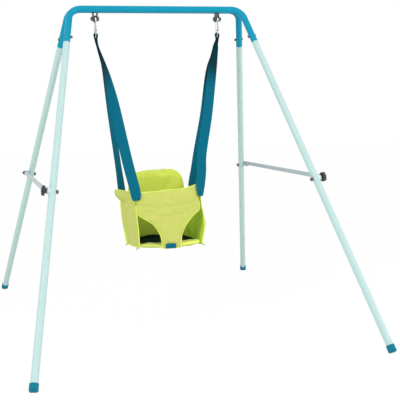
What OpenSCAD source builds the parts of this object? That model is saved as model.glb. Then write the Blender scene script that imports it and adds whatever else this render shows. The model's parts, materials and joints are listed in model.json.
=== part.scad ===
// Folding baby swing: two steel A-frame hoops hinged at the top, one brace on each side
// held by a knob, and a padded bucket seat hung from two snap hooks on webbing straps.
// Millimetres, Z up, origin on the floor below the middle of the top tubes, front = -Y.

/* [Frame] */
// Height of the centre of the top tubes above the floor
bar_height = 1200; // [1100:5:1300]
// Half the width of the frame at its top, where bar and leg lines cross
corner_x = 335; // [310:1:360]
// Half the width between the feet
foot_x = 588.5; // [540:0.5:640]
// Half the depth between front and rear feet
foot_y = 782.5; // [700:0.5:840]
// Outer diameter of the steel tubes
tube_d = 25; // [24:0.5:26]
// Wall thickness of the steel tubes
tube_wall = 1.5; // [1:0.1:2]
// Free gap between the two top tubes
tube_gap = 1; // [1:0.5:3]
// Bend radius of the hoops
bend_r = 50; // [45:1:60]
// Length of the coloured hoop end, measured from the virtual corner
stub_len = 159; // [145:1:180]
// Height of the brace bolts above the floor
brace_height = 560; // [480:5:640]

/* [Feet] */
// Outer diameter of the foot caps
foot_d = 29.5; // [28.5:0.5:32]
// Length of the foot caps along the leg
foot_len = 34; // [30:1:50]

/* [Hinge and hangers] */
// Distance of each hanger from the middle
hanger_x = 240; // [220:1:260]
// Drop of the hinge axis below the centre of the top tubes
hinge_drop = 35; // [33:1:38]
// Thickness of a hinge lug
lug_t = 4; // [3.5:0.5:5]
// Clear width between the two lugs of a hanger
lug_gap = 9.5; // [9:0.5:12]
// Diameter of the hinge bolts
hinge_bolt_d = 8; // [7.5:0.5:8]
// Outer diameter of the bush that the snap hook rides on
bush_d = 12; // [11.5:0.5:13]

/* [Snap hooks] */
// Wire diameter of the snap hooks
wire_d = 6.5; // [6:0.5:7]
// Overall height of a snap hook
hook_h = 76; // [74:1:80]
// Outer width of a snap hook at its top
hook_top_w = 34; // [33:1:36]
// Outer width of a snap hook at its bottom
hook_bottom_w = 24; // [23:1:26]

/* [Braces and knobs] */
// Outer diameter of the brace tubes
brace_d = 16; // [14:1:16]
// Thickness of the flattened brace ends
brace_plate_t = 3; // [2.5:0.5:3]
// Height of the flattened brace ends
brace_plate_h = 22; // [20:1:24]
// Outer diameter of the knobs
knob_d = 34; // [30:1:38]

/* [Seat] */
// Half the width of the seat between its side panels, at the front
seat_half_front = 116; // [112:1:120]
// Half the width of the seat between its side panels, at the back
seat_half_back = 130; // [126:1:134]
// Half the width of the front panel
front_half = 124; // [122:1:126]
// Underside of the seat above the floor, at its front edge
seat_bottom = 296; // [280:1:310]
// How much lower the underside is at the back, where the seat hangs tilted
seat_drop = 18; // [12:1:22]
// Top of the front panel above the floor
seat_front_top = 515; // [500:1:530]
// Top of the backrest above the floor
seat_back_top = 578; // [560:1:600]
// Back face of the front panel, measured forward from the hinge plane
seat_front_y = 118; // [110:1:126]
// Front face of the backrest, measured back from the hinge plane
seat_rear_y = 110; // [104:1:118]
// Radius of the two leg holes
leg_hole_r = 97; // [90:1:100]
// Width of the webbing
strap_w = 40; // [38:1:42]

/* [Hidden] */
$fn = 48;

left = -1;
right = 1;
front = -1;
rear = 1;

teal = [0.06, 0.62, 0.73];
mint = [0.79, 0.91, 0.90];
cap_teal = [0.07, 0.58, 0.67];
webbing = [0.05, 0.43, 0.50];
webbing_dark = [0.02, 0.24, 0.28];
lime = [0.82, 0.86, 0.42];
lime_inside = [0.70, 0.77, 0.30];
zinc = [0.75, 0.76, 0.78];
dark_steel = [0.30, 0.34, 0.36];
black = [0.12, 0.13, 0.15];

run = 0.05;                                // radial clearance of a running fit
touch = 0.1;                               // gap between faces that slide on each other
hairline = 0.1;                            // step between two surfaces that would coincide
tube_r = tube_d / 2;
tube_y = (tube_d + tube_gap) / 2;          // distance of each top tube from the hinge plane
lean = atan((foot_y - tube_y) / bar_height);
slant = bar_height / cos(lean);
splay = atan((foot_x - corner_x) / slant);
leg_len = slant / cos(splay);
bend_angle = 90 - splay;
bend_tangent = bend_r * tan(bend_angle / 2);
neck_len = 50;                             // part of a leg that sits inside the hoop end
joint_s = stub_len - 30;                   // joint bolt, along the leg from the corner
brace_s = (bar_height - brace_height) / cos(lean) / cos(splay);
brace_y = foot_y - (foot_y - tube_y) * brace_height / bar_height;
brace_x = foot_x - (foot_x - corner_x) * brace_height / bar_height;
plate_turn = atan(cos(splay) * tan(lean)); // levels a brace end on its leaning leg
side_lean = atan((foot_x - corner_x) / bar_height);

joint_bolt_d = 6;
brace_bolt_d = 8;
spacer_t = 3;                              // thinnest part of a saddle washer
plate_x = tube_r + spacer_t + touch;       // inner face of a brace end, from the leg axis
slot_angle = 62;                           // way that the knob bolt leaves the brace slot
brace_taper = 45;                          // from the bolt to where the round tube begins
plate_reach = 24;                          // from the bolt to the end of the flat plate

hinge_z = bar_height - hinge_drop;
lug_eye_r = 11;
washer_t = 1.5;
hinge_shank_in = lug_gap / 2 + lug_t + washer_t;   // from the hanger's middle to the bolt head

hook_top_r = (hook_top_w - wire_d) / 2;
hook_bottom_r = (hook_bottom_w - wire_d) / 2;
hook_span = hook_h - hook_top_w / 2 - hook_bottom_w / 2;
hook_taper = asin((hook_top_r - hook_bottom_r) / hook_span);
hook_top_z = hinge_z + bush_d / 2 + run - (hook_top_r - wire_d / 2);
hook_bottom_z = hook_top_z - hook_span;
hook_side = hook_span * cos(hook_taper);
wire_bottom_z = hook_bottom_z - hook_bottom_r;     // centre of the wire at the lowest point
gate_pin_d = 2.5;
gate_pin_s = 38;                           // gate pin, along the hook's side from its top
gate_tip_s = 5.4;

loop_inner_r = 4.5;
loop_t = 5;
loop_w = 8;
loop_drop = 32;                            // from the wire to the end of the strap loop
strap_t = 2.2;

panel_t = 12;
side_t = 12;
cuff_t = 9;
base_t = 22;
board_t = 8;
liner_t = 3;
seat_depth = seat_front_y + seat_rear_y;
side_turn = atan((seat_half_back - seat_half_front) / seat_depth);
pan_tilt = atan(seat_drop / seat_depth);
pan_ease = 0.15;                           // keeps the tilted base off the side panels
seam_front = 474;                          // cuff seam along the top of a side panel, front end
seam_rear = 450;                           // and rear end
cuff_h = 58;                               // height of a cuff at its rear end
leg_hole_x = 140;
leg_hole_z = 320;

// ---- placing ----

// Mirrors what is drawn for the right side to the side that is asked for
module on_side(side) {
    mirror([side == left ? 1 : 0, 0, 0]) children();
}

// Plane of one hoop: origin at the middle of its top tube, legs going down local -Z
module hoop_frame(end) {
    translate([0, end * tube_y, bar_height]) rotate([end * lean, 0, 0]) children();
}

// Frame of one right-hand leg: origin at the virtual corner, leg along local -Z, out = +X
module leg_frame(end, along = 0) {
    hoop_frame(end) translate([corner_x, 0, 0]) rotate([0, -splay, 0])
        translate([0, 0, -along]) children();
}

// Frame at a brace bolt: X along the bolt, Y along the flat end of the brace
module brace_end_frame(end) {
    leg_frame(end, brace_s) rotate([-end * plate_turn, 0, 0]) children();
}

// Frame in which 2D x is world Y, 2D y is world Z and the extrusion runs along world X
module across() {
    rotate([90, 0, 90]) children();
}

// ---- shapes ----

module x_rod(d, x0, x1) {
    translate([x0, 0, 0]) rotate([0, 90, 0]) cylinder(d = d, h = x1 - x0);
}

module hex_nut(across_flats, x0, x1) {
    translate([x0, 0, 0]) rotate([0, 90, 0])
        cylinder(d = across_flats / cos(30), h = x1 - x0, $fn = 6);
}

// Domed head on +X with its flat face at x0
module dome(d, h, x0) {
    ball_r = (d * d / 4 + h * h) / (2 * h);
    translate([x0, 0, 0]) rotate([0, 90, 0]) rotate_extrude() intersection() {
        translate([0, h - ball_r]) circle(ball_r);
        square([d, h]);
    }
}

module rounded_rect(w, h, r) {
    translate([r, 0]) square([w - 2 * r, h]);
    translate([0, r]) square([w, h - 2 * r]);
    for (x = [r, w - r], y = [r, h - r]) translate([x, y]) circle(r);
}

// Round section along the bar, the bends and the leg ends of a hoop, over = extra end length.
// A hairline step joins the bar to each bend.
module hoop_path(d, over) {
    bar_half = corner_x - bend_tangent;
    x_rod(d, -bar_half + 0.5, bar_half - 0.5);
    x_rod(d - 2 * hairline, -bar_half, bar_half);
    for (side = [left, right]) on_side(side)
        translate([corner_x, 0, 0]) rotate([0, -splay, 0]) {
            translate([0, 0, -stub_len - over])
                cylinder(d = d, h = stub_len + over - bend_tangent);
            translate([-bend_r, 0, -bend_tangent]) rotate([90, 0, 0])
                rotate_extrude(angle = bend_angle) translate([bend_r, 0]) circle(d = d);
        }
}

module top_tube(end) {
    color(teal) hoop_frame(end) difference() {
        hoop_path(tube_d, 0);
        hoop_path(tube_d - 2 * tube_wall, 1);
        for (side = [left, right]) on_side(side)
            translate([corner_x, 0, 0]) rotate([0, -splay, 0]) translate([0, 0, -joint_s])
                x_rod(joint_bolt_d + 2 * run, -tube_d, tube_d);
    }
}

// Leg tube with a narrower neck that plugs into the hoop end
module leg(end, side) {
    bore_d = tube_d - 2 * tube_wall;
    neck_d = bore_d - 2 * run;
    end_s = leg_len - 12;
    shoulder_s = stub_len + touch;
    color(mint) on_side(side) difference() {
        union() {
            leg_frame(end, end_s) cylinder(d = tube_d, h = end_s - shoulder_s);
            leg_frame(end, shoulder_s) cylinder(d = neck_d, h = neck_len);
        }
        leg_frame(end, end_s + 1) cylinder(d = bore_d, h = end_s - shoulder_s - 2);
        leg_frame(end, shoulder_s + 5) cylinder(d = neck_d - 2 * tube_wall, h = neck_len + 10);
        leg_frame(end, joint_s) x_rod(joint_bolt_d + 2 * run, -tube_d, tube_d);
        leg_frame(end, brace_s) x_rod(brace_bolt_d + 2 * run, -tube_d, tube_d);
    }
}

// Square plastic cap on the end of a leg, with a small flat where its lower edge meets the floor
module foot(end, side) {
    end_s = leg_len - 4;
    edge = 3;                              // bevel round the end
    color(cap_teal) on_side(side) difference() {
        union() {
            leg_frame(end, end_s) cylinder(d1 = foot_d - 2 * edge, d2 = foot_d, h = edge);
            leg_frame(end, end_s - edge) cylinder(d = foot_d, h = foot_len - edge);
        }
        leg_frame(end, leg_len - 12) cylinder(d = tube_d, h = foot_len);
        translate([foot_x, end * foot_y, -50]) cube([200, 200, 100], center = true);
    }
}

module joint_bolts(end) {
    color(zinc) for (side = [left, right]) on_side(side) leg_frame(end, joint_s) {
        x_rod(joint_bolt_d, -tube_r - 5, tube_r + 0.2);
        difference() {
            x_rod(12, tube_r - 2, tube_r + 0.5);
            translate([0, 0, -10]) cylinder(d = tube_d, h = 20);
        }
        dome(11.4, 3.4, tube_r + 0.5);
    }
}

module joint_nuts(end) {
    color(zinc) for (side = [left, right]) on_side(side) leg_frame(end, joint_s) difference() {
        union() {
            hex_nut(10, -tube_r - 5, -tube_r + 1.6);
            mirror([1, 0, 0]) dome(9, 3.2, tube_r + 5);
        }
        translate([0, 0, -10]) cylinder(d = tube_d, h = 20);
        x_rod(joint_bolt_d, -tube_r - 5, 0);
    }
}

// Welded tab from a top tube down to the hinge bolt; inner = lug nearer the middle
module hinge_lug(end, side) {
    x0 = end == front ? hanger_x - lug_gap / 2 - lug_t : hanger_x + lug_gap / 2;
    color(dark_steel) on_side(side) translate([x0, 0, hinge_z]) across()
        linear_extrude(lug_t) difference() {
            union() {
                circle(lug_eye_r);
                rotate(atan2(hinge_drop, end * tube_y)) translate([0, -10]) square([40, 20]);
            }
            translate([-50, hinge_drop - 6]) square(100);
            translate([end * tube_y, hinge_drop]) circle(d = tube_d);
            translate([-end * tube_y, hinge_drop]) circle(d = tube_d + 1);
            circle(d = hinge_bolt_d + 2 * run);
        }
}

module at_hanger(side) {
    on_side(side) translate([hanger_x, 0, hinge_z]) children();
}

module hinge_bolt(side) {
    color(dark_steel) at_hanger(side) {
        x_rod(hinge_bolt_d, -hinge_shank_in, hinge_shank_in + touch + 7);
        hex_nut(13, -hinge_shank_in - 4.5, -hinge_shank_in);
    }
}

module hinge_nuts() {
    nut_x = hinge_shank_in + touch;
    color(dark_steel) for (side = [left, right]) at_hanger(side) difference() {
        hex_nut(13, nut_x, nut_x + 5.5);
        x_rod(hinge_bolt_d, nut_x - 1, nut_x + 8);
    }
}

module hinge_washers() {
    lug_face = lug_gap / 2 + lug_t;
    color(zinc) for (side = [left, right]) at_hanger(side) difference() {
        union() {
            x_rod(16, -lug_face - washer_t, -lug_face);
            x_rod(16, lug_face + touch, lug_face + touch + washer_t);
        }
        x_rod(hinge_bolt_d + 2 * run, -lug_face - 5, lug_face + 5);
    }
}

module hanger_bush(side) {
    color(black) at_hanger(side) difference() {
        x_rod(bush_d, -lug_gap / 2, lug_gap / 2 - touch);
        x_rod(hinge_bolt_d + 2 * run, -lug_gap, lug_gap);
    }
}

// Saddle washers between the round legs and the flat brace ends
module brace_spacers(end) {
    color(black) for (side = [left, right]) on_side(side) leg_frame(end, brace_s) difference() {
        x_rod(20, tube_r - 4, tube_r + spacer_t);
        translate([0, 0, -15]) cylinder(d = tube_d, h = 30);
        x_rod(brace_bolt_d + 2 * run, 0, tube_d);
    }
}

// Nut with a saddle face against the inner side of a leg
module inner_nut() {
    difference() {
        hex_nut(13, -tube_r - 7, -tube_r + 1.8);
        translate([0, 0, -15]) cylinder(d = tube_d, h = 30);
        x_rod(brace_bolt_d, -tube_d, 0);
    }
}

// The knob bolt has its own fixed nut inside the leg line, so it is one node with it
module knob_bolt(side) {
    color(zinc) on_side(side) leg_frame(front, brace_s) {
        x_rod(brace_bolt_d, -tube_r - 8, plate_x + brace_plate_t + 16);
        inner_nut();
    }
}

module brace_bolt(side) {
    head_x = plate_x + brace_plate_t + touch + washer_t;
    color(zinc) on_side(side) leg_frame(rear, brace_s) {
        x_rod(brace_bolt_d, -tube_r - 8, head_x);
        x_rod(18, head_x - washer_t, head_x);
        hex_nut(13, head_x, head_x + 5.3);
        dome(9, 3, head_x + 5.3);
    }
}

module brace_nuts() {
    color(zinc) for (side = [left, right]) on_side(side) leg_frame(rear, brace_s) inner_nut();
}

// Round brace tube with two flattened ends: a bolt hole behind, an open slot in front
module brace(side) {
    bar_out = plate_x + brace_d / 2;
    bar_x = brace_x + bar_out * cos(side_lean);
    bar_z = brace_height + bar_out * sin(side_lean);
    bar_half = brace_y - brace_taper;
    color(zinc) on_side(side) difference() {
        union() {
            translate([bar_x, 0, bar_z]) rotate([90, 0, 0])
                difference() {
                    cylinder(d = brace_d, h = 2 * bar_half, center = true);
                    cylinder(d = brace_d - 2.4, h = 2 * bar_half - 4, center = true);
                }
            for (end = [front, rear]) {
                brace_end_frame(end) translate([plate_x, 0, 0]) {
                    x_rod(brace_plate_h, 0, brace_plate_t);
                    translate([0, end == front ? 0 : -plate_reach, -brace_plate_h / 2])
                        cube([brace_plate_t, plate_reach, brace_plate_h]);
                }
                hull() {
                    brace_end_frame(end)
                        translate([plate_x, -end * plate_reach - 0.5, -brace_plate_h / 2])
                            cube([brace_plate_t, 1, brace_plate_h]);
                    translate([bar_x, end * bar_half, bar_z]) rotate([90, 0, 0])
                        cylinder(d = brace_d - 0.4, h = 1, center = true, $fn = 32);
                }
            }
        }
        brace_end_frame(rear) x_rod(brace_bolt_d + 2 * run, 0, 40);
        brace_end_frame(front) {
            x_rod(brace_bolt_d + 0.6, 0, 40);
            rotate([slot_angle, 0, 0]) translate([0, 0, -brace_bolt_d / 2 - 0.2])
                cube([40, 30, brace_bolt_d + 0.4]);
        }
    }
}

// Round hand knob: a boss that presses on the brace end and a lobed grip outside it
module knob(side) {
    boss_x = plate_x + brace_plate_t + 0.2;
    grip_x = boss_x + 6;
    grip_t = 11;
    lobes = 8;
    color(black) on_side(side) leg_frame(front, brace_s) difference() {
        union() {
            x_rod(17, boss_x, grip_x);
            translate([grip_x, 0, 0]) across() linear_extrude(grip_t) difference() {
                circle(d = knob_d);
                for (i = [0 : lobes - 1]) rotate(i * 360 / lobes)
                    translate([knob_d / 2 + 2.2, 0]) circle(d = 8);
            }
            dome(knob_d - 10, 2.5, grip_x + grip_t);
        }
        x_rod(brace_bolt_d + 2 * run, 0, boss_x + 16.5);
    }
}

// ---- snap hooks ----

// Frame at the top of the straight front side of a snap hook, running down local -Z
module hook_side_frame(along = 0) {
    translate([0, -hook_top_r * cos(hook_taper), hook_top_z - hook_top_r * sin(hook_taper)])
        rotate([hook_taper, 0, 0]) translate([0, 0, -along]) children();
}

// Wire bend of a snap hook that starts at the local origin and turns over local +Z
module hook_bend(r, turn) {
    translate([0, r, 0]) rotate([90, 0, -90]) rotate_extrude(angle = turn)
        translate([r, 0]) circle(d = wire_d);
}

// Spring snap hook without its gate: one plain side, a nose above and a knuckle below
module snap_hook(side) {
    nose = gate_tip_s - 0.4;
    boss_d = wire_d + 0.7;
    color(zinc) on_side(side) translate([hanger_x, 0, 0]) difference() {
        union() {
            mirror([0, 1, 0]) hook_side_frame() {
                translate([0, 0, -hook_side]) cylinder(d = wire_d, h = hook_side);
                hook_bend(hook_top_r, 180 + 2 * hook_taper);
                translate([0, 0, -hook_side]) mirror([0, 0, 1])
                    hook_bend(hook_bottom_r, 180 - 2 * hook_taper);
            }
            hook_side_frame(nose) cylinder(d = boss_d, h = nose + 0.3);
            hook_side_frame(hook_side + 0.3) cylinder(d = boss_d, h = hook_side + 0.3 - gate_pin_s);
            hook_side_frame(gate_pin_s) x_rod(8, -4, 4);
        }
        hook_side_frame(gate_pin_s) {
            x_rod(gate_pin_d, -5, 5);
            x_rod(8.8, -2, 2);
        }
    }
}

module gate_pins() {
    color(dark_steel) for (side = [left, right]) on_side(side) translate([hanger_x, 0, 0])
        hook_side_frame(gate_pin_s) x_rod(gate_pin_d, -4.4, 4.4);
}

module gate(side) {
    rod_end = gate_pin_s - 4.6;
    color(zinc) on_side(side) translate([hanger_x, 0, 0]) difference() {
        union() {
            hook_side_frame(rod_end) cylinder(d = 6, h = rod_end - gate_tip_s);
            hook_side_frame(gate_pin_s) {
                x_rod(7, -1.8, 1.8);
                translate([-1.8, -2.5, 0]) cube([3.6, 5, 6]);
            }
        }
        hook_side_frame(gate_pin_s) x_rod(gate_pin_d + 2 * run, -5, 5);
    }
}

// ---- webbing ----

// Thin level slice of a strap: yaw 0 faces front, yaw 90 faces sideways
module slice(at, w, t, yaw) {
    translate(at) rotate([0, 0, yaw]) cube([w, t, 0.8], center = true);
}

// Gathered webbing that passes over the wire at the bottom of a snap hook
module strap_loop(side) {
    mid_r = loop_inner_r + loop_t / 2;
    low_z = wire_bottom_z - loop_drop;
    color(webbing_dark) on_side(side) {
        translate([hanger_x, 0, wire_bottom_z]) rotate([90, 0, 0])
            rotate_extrude(angle = 180) translate([mid_r - loop_t / 2, -loop_w / 2])
                rounded_rect(loop_t, loop_w, 2);
        for (way = [-1, 1]) hull() {
            slice([hanger_x + way * mid_r, 0, wire_bottom_z - 0.4], loop_w - 2, loop_t - 1, 90);
            slice([hanger_x + way * loop_t / 2, 0, low_z + 0.4], loop_w + 8, loop_t, 90);
        }
    }
}

module strap(side, slices) {
    color(webbing) on_side(side) for (i = [1 : len(slices) - 1]) hull() {
        slice(slices[i - 1][0], slices[i - 1][1], slices[i - 1][2], slices[i - 1][3]);
        slice(slices[i][0], slices[i][1], slices[i][2], slices[i][3]);
    }
}

strap_top = [hanger_x, 0, wire_bottom_z - loop_drop - 0.4];
strap_foot_y = loop_w / 2 + touch;         // from the middle of a loop's end to either strap
front_strap_end = [front_half - 2, -seat_front_y - panel_t - strap_t / 2 - 0.3, 478];
front_strap_fold = front_strap_end + [0, 0, seat_front_top - 472];
rear_strap_fold = [seat_half_back + 4, 88, 504];
rear_strap_seam = [seat_half_back - 3.4, 88, seam_rear + 8];
rear_strap_end = rear_strap_seam - [0, 0, 36];

function mix(a, b, t) = a + (b - a) * t;

module front_strap(side) {
    top = strap_top - [0, strap_foot_y, 0];
    strap(side, [
        [top, loop_w, 2 * loop_t, 90],
        [mix(top, front_strap_fold, 0.15), 0.7 * strap_w, 3, 50],
        [mix(top, front_strap_fold, 0.38), strap_w, strap_t, 12],
        [front_strap_fold, strap_w, strap_t, 0],
        [front_strap_end, strap_w, strap_t, 0]
    ]);
}

module rear_strap(side) {
    top = strap_top + [0, strap_foot_y, 0];
    strap(side, [
        [top, loop_w, 2 * loop_t, 90],
        [mix(top, rear_strap_fold, 0.14), 0.7 * strap_w, 3, 130],
        [rear_strap_fold, strap_w, strap_t, 105],
        [rear_strap_seam, strap_w, strap_t, 90 - side_turn],
        [rear_strap_end, strap_w, strap_t, 90 - side_turn]
    ]);
}

// ---- seat ----

// Plan outline between the side panels, along the tilted base
module seat_plan() {
    polygon([
        [pan_ease - seat_half_front, -seat_front_y], [seat_half_front - pan_ease, -seat_front_y],
        [seat_half_back - pan_ease, seat_rear_y - 1.4], [pan_ease - seat_half_back, seat_rear_y - 1.4]
    ]);
}

module board_plan() {
    translate([-106, -100]) rounded_rect(212, 195, 20);
}

// Tilts the base, its board and its liner about the lower front edge; up = height over the underside
module on_pan(up) {
    translate([0, -seat_front_y, seat_bottom]) rotate([-pan_tilt, 0, 0])
        translate([0, seat_front_y, up]) children();
}

// Padded cover of the seat base, with the pocket that holds its stiff board
module seat_base() {
    color(lime) on_pan(0) difference() {
        linear_extrude(base_t) seat_plan();
        translate([0, 0, (base_t - board_t) / 2]) linear_extrude(board_t) board_plan();
    }
}

module seat_board() {
    color(mint) on_pan((base_t - board_t) / 2) linear_extrude(board_t) board_plan();
}

module seat_liner() {
    color(webbing_dark) on_pan(base_t) linear_extrude(liner_t) intersection() {
        seat_plan();
        translate([-seat_half_back, -seat_front_y]) rounded_rect(2 * seat_half_back, seat_depth, 8);
    }
}

// Backrest with large rounded top corners
module seat_back() {
    top_half = 118;
    corner_r = 46;
    color(lime_inside) translate([0, seat_rear_y + 14, 0]) rotate([90, 0, 0]) linear_extrude(14) {
        translate([-seat_half_back - side_t, seat_bottom - seat_drop])
            square([2 * (seat_half_back + side_t), seam_rear + seat_drop - seat_bottom]);
        translate([-top_half, seam_rear - 60])
            rounded_rect(2 * top_half, seat_back_top - seam_rear + 60, corner_r);
    }
}

// Frame along a side panel: origin at its front lower inner corner, Y runs to the back
module side_frame(side) {
    on_side(side) translate([seat_half_front, -seat_front_y, 0]) rotate([0, 0, -side_turn])
        children();
}

side_len = seat_depth / cos(side_turn);

// Heights of a side panel's lower edge and of its cuff seam, from its front end backwards
function hem_z(y) = seat_bottom - seat_drop * y / side_len;
function seam_z(y) = mix(seam_front, seam_rear, y / side_len);

module side_panel(side) {
    y0 = side_t * tan(side_turn);
    y1 = side_len - y0;
    color(lime) side_frame(side) across() linear_extrude(side_t)
        polygon([[y0, hem_z(y0)], [y1, hem_z(y1)], [y1, seam_z(y1)], [y0, seam_z(y0)]]);
}

// Upright cross-section of a cuff at one place along its seam, leaning out by an angle
module cuff_end(y, foot_z, h, out) {
    reach = h * tan(out);
    translate([side_t - cuff_t, y, foot_z]) rotate([90, 0, 0]) linear_extrude(1)
        polygon([[0, 0], [cuff_t, 0], [cuff_t + reach, h], [reach, h]]);
}

// Soft flap on the sloping seam of a side panel; it opens outwards towards the rear
module cuff(side) {
    lean_front = side == left ? 2 : 16;
    lean_rear = side == left ? 27 : 12;
    color(lime) side_frame(side) hull() {
        cuff_end(1.5, seam_front, cuff_h + seam_rear - seam_front, lean_front);
        cuff_end(side_len - 1, seam_z(side_len - 2), cuff_h, lean_rear);
    }
}

// Front panel: a wide band that narrows between the two leg holes to a crotch strip
module front_panel() {
    color(lime) translate([0, -seat_front_y, 0]) rotate([90, 0, 0]) linear_extrude(panel_t)
        difference() {
            translate([-front_half, seat_bottom])
                square([2 * front_half, seat_front_top - seat_bottom]);
            for (side = [left, right]) translate([side * leg_hole_x, leg_hole_z]) {
                circle(leg_hole_r);
                translate([-leg_hole_r, -60]) square([2 * leg_hole_r, 60]);
            }
        }
}

// Small bare webbing tab over the lower end of the crotch strip
module front_tab() {
    color(webbing) translate([-19.5, -seat_front_y - panel_t - 2, seat_bottom])
        cube([39, 2, 19]);
}

top_tube(front);  // front_top_tube
leg(front, left);  // left_front_leg
leg(front, right);  // right_front_leg
foot(front, left);  // left_front_foot
foot(front, right);  // right_front_foot
joint_bolts(front);  // front_joint_bolts
joint_nuts(front);  // front_joint_nuts
hinge_lug(front, left);  // left_front_hinge_lug
hinge_lug(front, right);  // right_front_hinge_lug
hinge_bolt(left);  // left_hinge_bolt
hinge_bolt(right);  // right_hinge_bolt
hinge_nuts();
hinge_washers();
hanger_bush(left);  // left_hanger_bush
hanger_bush(right);  // right_hanger_bush
knob_bolt(left);  // left_knob_bolt
knob_bolt(right);  // right_knob_bolt
brace_spacers(front);  // front_brace_spacers
top_tube(rear);  // rear_top_tube
leg(rear, left);  // left_rear_leg
leg(rear, right);  // right_rear_leg
foot(rear, left);  // left_rear_foot
foot(rear, right);  // right_rear_foot
joint_bolts(rear);  // rear_joint_bolts
joint_nuts(rear);  // rear_joint_nuts
hinge_lug(rear, left);  // left_rear_hinge_lug
hinge_lug(rear, right);  // right_rear_hinge_lug
brace_bolt(left);  // left_brace_bolt
brace_bolt(right);  // right_brace_bolt
brace_nuts();
brace_spacers(rear);  // rear_brace_spacers
brace(left);  // left_brace
brace(right);  // right_brace
knob(left);  // left_knob
knob(right);  // right_knob
snap_hook(left);  // left_snap_hook
snap_hook(right);  // right_snap_hook
gate_pins();
gate(left);  // left_gate
gate(right);  // right_gate
strap_loop(left);  // left_strap_loop
strap_loop(right);  // right_strap_loop
front_strap(left);  // left_front_strap
front_strap(right);  // right_front_strap
rear_strap(left);  // left_rear_strap
rear_strap(right);  // right_rear_strap
seat_base();
seat_board();
seat_liner();
seat_back();
side_panel(left);  // left_side_panel
side_panel(right);  // right_side_panel
cuff(left);  // left_cuff
cuff(right);  // right_cuff
front_panel();
front_tab();
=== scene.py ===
"""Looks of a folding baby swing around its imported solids: painted steel, webbing, a sewn seat."""

import json
import math

import bmesh
import bpy
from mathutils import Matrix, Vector, noise
from mathutils.bvhtree import BVHTree


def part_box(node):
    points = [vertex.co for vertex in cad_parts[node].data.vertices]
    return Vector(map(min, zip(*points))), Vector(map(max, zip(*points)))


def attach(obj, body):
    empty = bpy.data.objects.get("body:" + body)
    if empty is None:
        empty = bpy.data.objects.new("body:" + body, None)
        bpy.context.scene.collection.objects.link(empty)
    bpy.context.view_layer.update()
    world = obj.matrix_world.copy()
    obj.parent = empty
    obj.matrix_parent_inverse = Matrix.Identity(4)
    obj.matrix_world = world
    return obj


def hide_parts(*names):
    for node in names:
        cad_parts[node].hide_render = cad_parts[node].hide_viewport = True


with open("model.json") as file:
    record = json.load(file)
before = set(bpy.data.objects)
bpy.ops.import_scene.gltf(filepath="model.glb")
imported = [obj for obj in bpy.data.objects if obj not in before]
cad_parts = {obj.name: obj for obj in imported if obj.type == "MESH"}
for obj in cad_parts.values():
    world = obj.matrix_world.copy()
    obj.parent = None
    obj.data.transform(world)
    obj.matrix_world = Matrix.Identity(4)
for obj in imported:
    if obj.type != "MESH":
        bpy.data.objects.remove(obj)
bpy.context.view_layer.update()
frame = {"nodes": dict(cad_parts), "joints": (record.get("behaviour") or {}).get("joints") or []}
scene = bpy.context.scene

# ---- Camera, floor and light ----
# A plain studio: a camera in front and a little to the left, a pale floor that keeps the
# shadow, a large soft lamp at the left front and a weaker one at the right front.

camera = bpy.data.objects.new("camera", bpy.data.cameras.new("camera"))
camera.data.angle = math.radians(26.106)
camera.location = (-0.7643, -3.2927, 0.8364)
camera.rotation_euler = [math.radians(angle) for angle in (83.644, 1.372, -15.737)]
scene.collection.objects.link(camera)
scene.camera = camera
scene.view_settings.view_transform = "Standard"


def soft_lamp(name, place, aim, size, power):
    lamp = bpy.data.objects.new(name, bpy.data.lights.new(name, "AREA"))
    lamp.data.shape, lamp.data.size, lamp.data.energy = "DISK", size, power
    lamp.location = place
    lamp.rotation_euler = (Vector(aim) - Vector(place)).to_track_quat("-Z", "Y").to_euler()
    scene.collection.objects.link(lamp)


soft_lamp("key_lamp", place=(-3.1, -2.4, 3.0), aim=(0, 0, 0.5), size=2.8, power=84)
soft_lamp("side_lamp", place=(3.0, -2.7, 1.8), aim=(0, 0, 0.6), size=2.4, power=66)


class Value:
    """One socket of a node tree, for use in expressions."""

    def __init__(self, tree, socket=None):
        self.tree, self.socket = tree, socket

    def node(self, kind, settings=None, inputs=None, out=0):
        """Adds a node and returns one of its outputs. A ramp's stops are (place, grey) pairs."""
        made = self.tree.nodes.new("ShaderNode" + kind)
        settings = dict(settings or {})
        for index, (at, grey) in enumerate(settings.pop("stops", [])):
            stop = made.color_ramp.elements[index] if index < 2 else made.color_ramp.elements.new(at)
            stop.position, stop.color = at, (grey, grey, grey, 1)
        for key, value in settings.items():
            setattr(made, key, value)
        for key, value in (inputs or {}).items():
            if isinstance(value, Value):
                self.tree.links.new(value.socket, made.inputs[key])
            else:
                made.inputs[key].default_value = value
        return Value(self.tree, made.outputs[out])

    def sum(self, operation, a, b=0.0):
        return self.node("Math", {"operation": operation}, {0: a, 1: b})

    def __add__(self, other):
        return self.sum("ADD", self, other)

    def __sub__(self, other):
        return self.sum("SUBTRACT", self, other)

    def __rsub__(self, other):
        return self.sum("SUBTRACT", other, self)

    def __mul__(self, other):
        return self.sum("MULTIPLY", self, other)

    __radd__, __rmul__ = __add__, __mul__

    def mix(self, low, high):
        """Goes from the colour low to the colour high as this value goes from 0 to 1."""
        return self.node("Mix", {"data_type": "RGBA"}, {0: self, 6: low, 7: high}, out=2)


def rgb(red, green, blue, level=1.0):
    """A colour given as on a screen, 0 to 255, as the linear values that a shader takes."""
    shares = [channel / 255 for channel in (red, green, blue)]
    parts = [share / 12.92 if share < 0.0404 else ((share + 0.055) / 1.055) ** 2.4 for share in shares]
    return (*[min(1.0, part * level) for part in parts], 1.0)


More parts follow.
